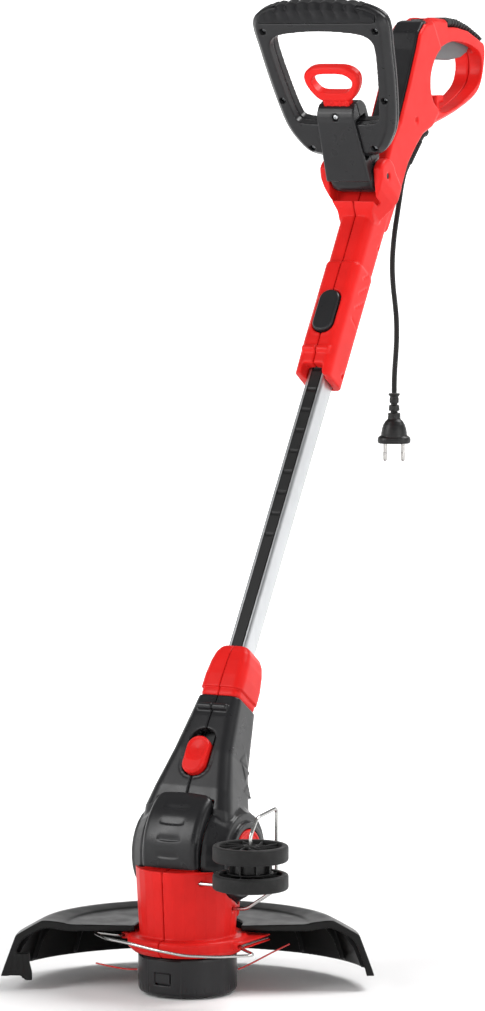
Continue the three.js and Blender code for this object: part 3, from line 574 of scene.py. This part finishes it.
def spread_bar(data):
    """Widens a piece of the front handle across its middle."""
    for vertex in data.vertices:
        local = TO_BAR @ (vertex.co / MM)
        vertex.co = (BAR @ Vector((local.x * BAR_SPREAD, local.y, local.z))) * MM
    data.update()


def front_wave(place):
    """Where a point lies along the front grip's ridges, and how much of the wave it takes."""
    local = TO_BAR @ place
    edge = min(1, max(0, (58 - abs(local.x)) / 6))
    high = min(1, max(0, (local.z - 186) / 8))
    return local.x + 0.3 * (local.z - 200), edge * high


def rear_wave(place):
    """The same along the rear grip's ridges."""
    edge = min(1, max(0, min(place.y - 556, 638 - place.y) / 6))
    return place.y + 0.35 * place.x, edge


def front_grip(data):
    grip_waves(13.2, 1.9, front_wave, 0.5)(data)
    spread_bar(data)


moulded("front_grip_pad", SOFT, 0.7, 6, shape=front_grip)
moulded("rear_grip_pad", SOFT, 0.5, 4, shape=grip_waves(6.8, 0.8, rear_wave, 0.8))


moulded("length_button", CHARCOAL, 0.5, 6)


# ---------------------------------------------------------------- front handle
moulded("front_handle_face", CHARCOAL, 0.9, 9, shape=spread_bar)
moulded("front_handle_back", CHARCOAL, 0.9, 9, shape=spread_bar)
moulded("bracket_front", CHARCOAL, 0.8, 4)
moulded("bracket_back", CHARCOAL, 0.8, 4)

ring_ribs = [mesh_of(swept([(x, -12.2, 74), (x * 1.15, -12.4, 92)], 0.9, 10), BAR)
             for x in (-11, -4, 4, 11)]
moulded("release_ring", RED, 0.6, 4, add=ring_ribs)


def screw_head(name, node, where, x, z, y_top):
    """A round screw head with a cross recess, at the bottom of its well."""
    profile = [(0.01, 0), (1.6, 0.1), (2.6, 0.5), (3.1, 1.3), (3.1, 2.6), (0.01, 2.6)]
    dome = turned([(radius, y_top + depth) for radius, depth in profile], 32, axis="Y", at=(x, 0, z))
    slots = []
    for wide, tall in ((2.0, 0.4), (0.4, 2.0)):
        slots.append(mesh_of(brick(x - wide, x + wide, y_top - 1, y_top + 1.4, z - tall, z + tall), where))
    data = carved(mesh_of(dome, where), *slots)
    link(name, creased(data, 40), "front_handle", STEEL, [node])


SCREWS = [(-62.5, 174), (62.5, 174), (-57, 95), (57, 95), (-35, 40), (35, 40)]
for index, (x, z) in enumerate(SCREWS):
    screw_head(f"handle_screw_{index + 1}", f"front_handle_screw_{index + 1}", BAR, x * BAR_SPREAD, z, -13)
screw_head("stem_screw", "bracket_screw", BAR, 0, 77, -20)


# ---------------------------------------------------------------- tube
def rounded_box(half_u, half_v, radius, steps=6):
    """A rectangle with round corners about the origin, as (u, v) pairs."""
    points = []
    for su, sv, start in ((1, 1, 0), (-1, 1, 90), (-1, -1, 180), (1, -1, 270)):
        for k in range(steps + 1):
            angle = math.radians(start + 90 * k / steps)
            points.append((su * (half_u - radius) + radius * math.cos(angle),
                           sv * (half_v - radius) + radius * math.sin(angle)))
    return points


TUBE_START, TUBE_END = 72, 600
TUBE_HALF_WIDTH, TUBE_HALF_DEPTH, TUBE_WALL = 10.5, 12, 1.4


def make_tube():
    """The hollow tube, with a shallow groove for the strip down its front."""
    low, high = TUBE_START, TUBE_END
    across = rounded_box(TUBE_HALF_WIDTH, TUBE_HALF_DEPTH, 3.2)
    within = rounded_box(TUBE_HALF_WIDTH - TUBE_WALL, TUBE_HALF_DEPTH - TUBE_WALL, 2)
    outer = [[Vector((u, TUBE_MIDDLE + v, z)) for u, v in across] for z in (low, high)]
    inner = [[Vector((u, TUBE_MIDDLE + v, z)) for u, v in within] for z in (high, low)]
    shell = mesh_of(loft([*outer, *inner], closed=True), TUBE)
    groove = mesh_of(brick(-6.6, 6.6, -41, -39.2, low - 1, high + 1), TUBE)
    data = creased(carved(shell, groove), 25)
    link("tube_profile", data, "shaft", TUBE_METAL, ["tube"])


NOTCHES, FIRST_NOTCH, NOTCH_PITCH = 11, 338, 24.3


def make_strip():
    """The black strip in the tube's front, with a row of notches."""
    strip = mesh_of(brick(-6.25, 6.25, -40.9, -39.5, TUBE_START + 4, TUBE_END - 4), TUBE)
    notches = []
    for k in range(NOTCHES):
        z = FIRST_NOTCH + NOTCH_PITCH * k
        notches.append(mesh_of(brick(-5.2, 5.2, -42, -40.1, z - 1.9, z + 1.9), TUBE))
    data = softened(carved(strip, *notches), 0.45, 2)
    link("strip_moulding", data, "shaft", BLACK, ["ratchet_strip"])


make_tube()
make_strip()


# ---------------------------------------------------------------- collar, neck and hinge
def neck_side(s):
    """Half width of the neck at a height up the tube."""
    stops = [(26, 49), (47, 43), (88, 33), (126, 26), (150, 24)]
    for (s0, x0), (s1, x1) in zip(stops, stops[1:]):
        if s <= s1:
            return x0 + (x1 - x0) * (s - s0) / (s1 - s0)
    return stops[-1][1]


def on_neck(side, corners, rise):
    """A flat patch over the neck's side, from (y, height up the tube) corners."""
    rings = [[Vector((side * (neck_side(v) + lift), u, v)) for u, v in corners] for lift in (-4, rise)]
    return mesh_of(loft(rings), TUBE)


def neck_triangles(side):
    """A row of raised triangles down the neck's side face, pointing down and up by turns."""
    made = []
    for k in range(4):
        top, middle = 117 - 14 * k, -22 + 6 * k
        low = top - 12
        if k % 2:
            top, low = low, top
        made.append(on_neck(side, [(middle - 9, top), (middle + 9, top), (middle, low)], 0.9))
    return made


def recess_line():
    """A thin groove that follows the tilt button's recess."""
    ring = [(x, -54.2, 85.5 + z) for x, z in oval_points(17.4, 59.5)]
    return mesh_of(swept(ring + ring[:1], 0.9, 10), TUBE)


for side, name in SIDES:
    moulded(f"collar_{name}", RED, 0.8, 3)
    moulded(f"neck_shell_{name}", CHARCOAL, 0.9, 4, add=neck_triangles(side), cut=[recess_line()])

moulded("tilt_button", RED, 0.5, 5)

for side, name in SIDES:
    face = side * 57.9
    x = face - side * 0.9
    profile = [(0.01, side * 54.4), (26.4, side * 54.4), (26.6, side * 56.8), (25.6, face), (23.4, face),
               (22.6, x), (9.0, x), (8.0, face - side * 0.1), (0.01, face)]
    dish = turned(profile, 72, axis="X", at=(0, HINGE_Y, HINGE_Z))
    marks = []
    for k in range(12):
        angle = 2 * math.pi * k / 12
        u, v = math.cos(angle), math.sin(angle)
        marks.append(mesh_of(swept([(x, HINGE_Y + 11.5 * u, HINGE_Z + 11.5 * v),
                                    (x, HINGE_Y + 20 * u, HINGE_Z + 20 * v)], 0.8, 10)))
    data = softened(joined(mesh_of(dish), *marks), 0.45, 3)
    link(f"hinge_disc_{name}", data, "neck", RED, [f"hinge_cap_{name}"])


# ---------------------------------------------------------------- motor head
for side, name in SIDES:
    moulded(f"motor_housing_{name}", RED, 1.0, 7)


def cover_section(v, outer):
    """Half of the cover's section at v, 0 at the top and 1 at the bottom: (x, radius) pairs."""
    corner = max(0.0, (0.08 - v) / 0.08)
    half = 31.4 - 5 * (1 - math.sqrt(max(0.0, 1 - corner ** 2)))
    crown, skirt, bend = 68.2 - 5.0 * v, 52.0, 7.0
    if not outer:
        half, crown, bend = half - 2.6, 60.6, 1.0
    points = []
    flat = half - bend
    for k in range(25):
        u = k / 24
        drop = 0.0
        for rib in range(4):
            reach = 0.62 - 0.03 * rib
            line = 0.25 + 0.2 * rib + 0.012 * (1 - (u / reach) ** 2)
            if u < reach and outer:
                side = (v - line) / (0.055 if v < line else 0.012)
                drop += 1.1 * math.exp(-side ** 2) * (1 - (u / reach) ** 4)
        points.append((flat * u, crown - drop - 0.9 * u ** 2 * outer))
    crown = points[-1][1]
    for k in range(1, 9):
        angle = math.pi / 2 * k / 8
        points.append((flat + bend * math.sin(angle), crown - bend * (1 - math.cos(angle))))
    points.append((half, skirt))
    return points


def make_cover():
    """A curved cover over the drum: arched top, rounded sides and shallow smile-shaped ribs."""
    rings = []
    steps = 150
    for j in range(steps + 1):
        v = j / steps
        outer, inner = cover_section(v, True), cover_section(v, False)
        section = [(-x, r) for x, r in reversed(outer[1:])] + outer
        section += list(reversed(inner)) + [(-x, r) for x, r in inner[1:]]
        angle = math.radians(112 + 75.5 * v)
        u, w = math.cos(angle), math.sin(angle)
        rings.append([Vector((x, HINGE_Y + r * u, HINGE_Z + r * w)) for x, r in section])
    link("ribbed_cover", softened(mesh_of(loft(rings)), 0.6, 2), "head", CHARCOAL, ["head_cover"])


make_cover()


# ---------------------------------------------------------------- debris guard
GUARD_DEPTH = 0.84
WALL = 2.6


def half_lathe(profile, steps=120):
    """Half a turn of a closed profile, flattened front to back, with both ends filled."""
    rings = []
    for k in range(steps + 1):
        angle = math.pi * k / steps
        u, v = math.cos(angle), math.sin(angle) * GUARD_DEPTH
        rings.append([Vector((r * u, r * v, z)) for r, z in profile])
    return loft(rings)


def curve_through(stops, steps=4):
    """A smooth (radius, height) profile through its stops."""
    return [(p.x, p.y) for p in smooth_path([(r, z, 0) for r, z in stops], steps)]


def make_guard():
    """The guard's shell with its front rim, ribs, cutter holder and seat round the housing."""
    outer = curve_through([(186.8, 15), (184.5, 22), (173.5, 52), (171.5, 56), (168, 58.6), (149, 69.4),
                           (144, 71), (139, 71), (124, 69), (116, 67.4), (80, 66.6), (47, 66.0)])
    inner = curve_through([(47, 63.4), (80, 64.0), (116, 64.6), (124, 66), (138, 68.3), (143, 68.2),
                           (148, 66.6), (166, 56.4), (169.5, 53), (181.6, 22), (184.2, 15)])
    shell = mesh_of(half_lathe([*outer, *inner]), GUARD)
    lip = curve_through([(47, 60.6), (100, 60.4), (118, 60.2), (134, 62.6), (144, 62.8), (156, 57.6),
                         (167, 49), (175, 30), (179, 15)])
    rim_outline = [*outer, *lip]
    rim_parts = []
    for side in (-1, 1):
        rings = [[Vector((side * r, y, z)) for r, z in rim_outline] for y in (0.15, WALL)]
        rim_parts.append(mesh_of(loft(rings), GUARD))
    holder = [(-185.5, 15.2), (-174, 46), (-171.5, 38.8), (-158, 38), (-158, 29), (-155.5, 19),
              (-155.5, 10.5), (-162, 10.5), (-167, 15.2)]
    rings = [[Vector((x, y, z)) for x, z in holder] for y in (0.15, 3.6)]
    rim_parts.append(mesh_of(loft(rings), GUARD))
    for x in (-178, -172, -166):
        rim_parts.append(mesh_of(brick(x - 0.8, x + 0.8, -0.5, 1, 17, 36), GUARD))
    ribs = []
    for degrees in (12, 30, 50, 90, 130, 150, 168):
        angle = math.radians(degrees)
        u, v = math.cos(angle), math.sin(angle) * GUARD_DEPTH
        across = Vector((-math.sin(angle), math.cos(angle), 0)) * 0.9
        section = [(118, 65.6), (134, 68.5), (150, 67.2), (168, 55.6), (180, 30), (183, 18), (178, 18),
                   (170, 38), (158, 54), (140, 61), (118, 63)]
        rings = [[Vector((r * u, r * v, z)) + across * way for r, z in section] for way in (-1, 1)]
        ribs.append(mesh_of(loft(rings), GUARD))
    seat_rings = []
    for k in range(61):
        angle = math.pi * k / 60
        seat_rings.append([Vector((r * math.cos(angle), r * math.sin(angle), z))
                           for r, z in ((52.8, 60.2), (57, 60.2), (57, 65.2), (54.5, 66.6), (52.8, 66.6))])
    seat = mesh_of(loft(seat_rings), GUARD)
    core = [mesh_of(turned([(0.01, 20), (radius, 20), (radius, 100), (0.01, 100)], 96, at=(0, y, 0)))
            for radius, y in ((52.4, 0), (50, 8), (47, 17))]
    whole = carved(joined(shell, *rim_parts, *ribs, seat), *core)
    data = softened(whole, 1.0, 3)
    link("guard_moulding", data, "head", GLOSS_BLACK, ["debris_guard"])


make_guard()


def make_cutter():
    """The blade that trims the line, ground along one edge."""
    blade = mesh_of(brick(-166, -158, 4, 5.5, 12, 38), GUARD)
    bevel = mesh_of(brick(-168, -164.5, 3, 5.1, 10, 40), GUARD)
    data = applied(carved(blade, bevel), ("BEVEL", {"width": 0.2 * MM, "segments": 2}))
    link("cutter_blade", creased(data), "head", DARK_STEEL, ["line_cutter"])


make_cutter()


# ---------------------------------------------------------------- wires
WIRE_Z, WIRE_TILT = 53, 3.5                 # height of the plant guard, and its fall to the right
WHEEL_X, WHEEL_Y = 98.5, -50


def guard_wire(side):
    """Half of the plant guard, from its rail to the front."""
    low = WIRE_Z - side * WIRE_TILT
    return [(side * 66.2, 45, WIRE_Z), (side * 66.2, -16, WIRE_Z), (side * 93, -29, low),
            (side * 62, -55, low), (side * 32, -64.5, low)]


def make_wires():
    """The plant guard's wire and the wheels' bracket."""
    route = [*guard_wire(-1), (0, -67.5, WIRE_Z), *reversed(guard_wire(1))]
    data = mesh_of(swept(bent_path(route, 9), 1.5, 20))
    link("plant_guard_wire", creased(data, 60), "wire_guard", WIRE_METAL, ["plant_guard"])
    route = [(32, -36, 117), (60, -36, 117), (WHEEL_X, WHEEL_Y, 117), (WHEEL_X, WHEEL_Y, 172),
             (WHEEL_X, -36, 188), (WHEEL_X, 4, 192), (WHEEL_X, 4, 111), (64, 5, 88), (40, 5, 86)]
    data = mesh_of(swept(bent_path(route, 4.8), 1.8, 20))
    link("wheel_bracket_wire", creased(data, 60), "head", WIRE_METAL, ["wheel_bracket"])


make_wires()


# ---------------------------------------------------------------- edging wheels
WHEEL = Matrix.Translation((WHEEL_X, WHEEL_Y, 0))
SPOKES = 10


def make_wheel(name, node, low, high):
    """A wheel with a thick rim, a floor half way down and thin curved spokes."""
    middle = low + 6.5
    rim = turned([(31, low + 0.6), (31.6, low), (35.8, low), (37.0, low + 1.0), (37.4, low + 2.4),
                  (37.4, high - 2.4), (37.0, high - 1.0), (35.8, high), (31.6, high), (31, high - 0.6)], 96)
    hub = turned([(2.4, low + 4), (7.4, low + 4), (8, low + 4.6), (8, high - 0.8), (7.2, high), (5.4, high),
                  (5.0, high - 1.2), (2.4, high - 1.2)], 48)
    floor = turned([(7.6, middle), (31.4, middle), (31.4, middle + 1.6), (7.6, middle + 1.6)], 96)
    parts = [mesh_of(body, WHEEL) for body in (rim, hub, floor)]
    for k in range(SPOKES):
        turn = 2 * math.pi * k / SPOKES
        path = []
        for step in range(9):
            t = step / 8
            radius = 7.6 + (31.4 - 7.6) * t
            angle = turn + 0.42 * math.sin(math.pi * t * 0.5)
            path.append(Vector((radius * math.cos(angle), radius * math.sin(angle), 0)))
        rings = []
        for i, p in enumerate(path):
            along = (path[min(i + 1, 8)] - path[max(i - 1, 0)]).normalized()
            across = Vector((-along.y, along.x, 0)) * 0.8
            rings.append([p - across + Vector((0, 0, low + 1.2)), p + across + Vector((0, 0, low + 1.2)),
                          p + across + Vector((0, 0, high - 1.2)), p - across + Vector((0, 0, high - 1.2))])
        parts.append(mesh_of(loft(rings), WHEEL))
    data = softened(joined(*parts), 0.55, 2)
    link(name, data, "wheels", TYRE, [node])


make_wheel("wheel_low", "edging_wheel_lower", 119.6, 134.6)
make_wheel("wheel_high", "edging_wheel_upper", 147.4, 163)


def make_spacer():
    """The ribbed drum between the wheels."""
    rings = [(2.4, 134.95), (22.4, 134.95), (22.4, 136.2), (17.5, 136.6), (17.5, 145.4), (22.4, 145.8),
             (22.4, 147.05), (2.4, 147.05)]
    parts = [mesh_of(turned(rings, 72), WHEEL)]
    for k in range(8):
        turn = Matrix.Rotation(2 * math.pi * k / 8, 4, "Z")
        parts.append(mesh_of(brick(16, 21.8, -0.9, 0.9, 135.4, 146.6), WHEEL @ turn))
    link("spacer_drum", creased(joined(*parts)), "wheels", BLACK, ["wheel_spacer"])


make_spacer()


# ---------------------------------------------------------------- spool
EYELET_Z = 22
LATCH_TURNS = (240, 60)                     # where the latches are round the cup, degrees


def make_cup():
    """The spool's cup: eyelets, latch windows, a grooved foot and two raised panels."""
    outer = [(0.01, 0), (30, 0), (33.5, 0.2), (35.5, 1.5), (45.5, 1.6), (48.2, 3.2), (49.4, 6.2),
             (49.4, 38.6), (48.8, 40.6), (47.6, 41.4), (47.0, 40.8), (47.0, 6.6), (45, 4), (0.01, 3)]
    cup = mesh_of(turned(outer, 120), GUARD)
    cuts = [mesh_of(rod((-60, 0, EYELET_Z), (60, 0, EYELET_Z), 1.8), GUARD)]
    for turn in (-30, 150):
        side = GUARD @ Matrix.Rotation(math.radians(turn), 4, "Z")
        cuts.append(mesh_of(brick(-9, 9, -60, -44, 14, 26), side))
    for k in range(36):
        turn = 10 * k
        clear = min(abs((turn - latch + 180) % 360 - 180) for latch in LATCH_TURNS)
        if clear > 16 and turn % 180:       # none on a latch or below an eyelet
            side = GUARD @ Matrix.Rotation(math.radians(turn), 4, "Z")
            cuts.append(mesh_of(rod((50.1, 0, 3), (50.1, 0, 12), 1.2, 12), side))
    data = softened(carved(cup, *cuts), 0.7, 2)
    for vertex in data.vertices:
        local = GUARD.inverted() @ (vertex.co / MM)
        turn = (math.degrees(math.atan2(local.y, local.x)) - LATCH_TURNS[1] + 90) % 180 - 90
        if math.hypot(local.x, local.y) > 48.6 and abs(turn) < 23 and 3 < local.z < 39:
            vertex.co += Vector((vertex.co.x, vertex.co.y, 0)).normalized() * 0.8 * MM
    link("spool_cup_moulding", data, "rotor", CHARCOAL, ["spool_cup"])


make_cup()


def make_lines():
    """The two ends of the cutting line, each through its eyelet."""
    left = [(-35, 0, EYELET_Z), (-48, 0, EYELET_Z), (-62, 2, EYELET_Z), (-78, 6, 24), (-92, 12, 26)]
    right = [(35, 0, EYELET_Z), (50, 0, EYELET_Z), (66, 6, 28), (84, 14, 36), (102, 24, 43)]
    for name, route in (("left", left), ("right", right)):
        data = mesh_of(swept(smooth_path(route, 8), 0.85, 12), GUARD)
        link(f"line_{name}", creased(data, 60), "rotor", NYLON, [f"line_end_{name}"])
        ferrule = turned([(1.05, 48.6), (3.4, 48.6), (3.4, 49.4), (2.4, 50.2), (1.05, 50.2)], 32, axis="X",
                         at=(0, 0, EYELET_Z))
        turn = GUARD if name == "right" else GUARD @ Matrix.Rotation(math.pi, 4, "Z")
        link(f"eyelet_{name}", creased(mesh_of(ferrule, turn)), "rotor", STEEL)


make_lines()


# ---------------------------------------------------------------- floor and light
def make_stage():
    """A wide round floor whose rim curves up into a low wall, beyond every view's camera."""
    reach, bend, height, sides = 16000, 3000, 5000, 96
    profile = [(1, 0), (reach / 2, 0)]
    for k in range(13):
        angle = math.pi / 2 * k / 12
        profile.append((reach - bend + bend * math.sin(angle), bend - bend * math.cos(angle)))
    profile.append((reach, height))
    build = bmesh.new()
    rows = []
    for radius, z in profile:
        rows.append([build.verts.new((radius * math.cos(a), radius * math.sin(a), z))
                     for a in (2 * math.pi * k / sides for k in range(sides))])
    for low, high in zip(rows, rows[1:]):
        for k in range(sides):
            m = (k + 1) % sides
            build.faces.new((low[k], low[m], high[m], high[k]))
    build.faces.new(rows[0])
    data = mesh_of(build)
    floor = bpy.data.objects.new("floor", data)
    scene.collection.objects.link(floor)
    paint = bpy.data.materials.new("floor_paint")
    paint.use_nodes = True
    shader = paint.node_tree.nodes["Principled BSDF"]
    shader.inputs["Base Color"].default_value = (0.93, 0.93, 0.93, 1)
    tree = paint.node_tree
    away = tree.nodes.new("ShaderNodeVectorMath")
    away.operation = "LENGTH"
    tree.links.new(tree.nodes.new("ShaderNodeTexCoord").outputs["Object"], away.inputs[0])
    glow = tree.nodes.new("ShaderNodeMapRange")
    glow.inputs["From Min"].default_value = 0.4
    glow.inputs["From Max"].default_value = 1.6
    glow.inputs["To Max"].default_value = 0.78
    tree.links.new(away.outputs["Value"], glow.inputs["Value"])
    shader.inputs["Emission Color"].default_value = (1, 1, 1, 1)
    tree.links.new(glow.outputs["Result"], shader.inputs["Emission Strength"])
    shader.inputs["Roughness"].default_value = 0.6
    shader.inputs["Specular IOR Level"].default_value = 0.2
    data.materials.append(paint)
    for polygon in data.polygons:
        polygon.use_smooth = True


def softbox(name, place, aim, size, power):
    """A rectangular light that faces its aim."""
    light = bpy.data.lights.new(name, "AREA")
    light.shape = "RECTANGLE"
    light.size, light.size_y = size
    light.energy = power
    lamp = bpy.data.objects.new(name, light)
    scene.collection.objects.link(lamp)
    lamp.location = place
    lamp.rotation_euler = (Vector(aim) - Vector(place)).to_track_quat("-Z", "Y").to_euler()


make_stage()
softbox("key", (-1.6, -2.4, 2.0), (0, 0.2, 0.5), (1.2, 1.8), 62)
softbox("fill", (2.8, -0.9, 0.95), (0, 0.2, 0.45), (1.0, 2.2), 20)
softbox("top", (2.2, 2.2, 4.4), (0, 0.1, 0), (2.4, 2.4), 220)

world = bpy.data.worlds.new("studio")
scene.world = world
world.use_nodes = True
world.node_tree.nodes["Background"].inputs["Color"].default_value = (1, 1, 1, 1)
world.node_tree.nodes["Background"].inputs["Strength"].default_value = 0.28
scene.view_settings.view_transform = "Standard"
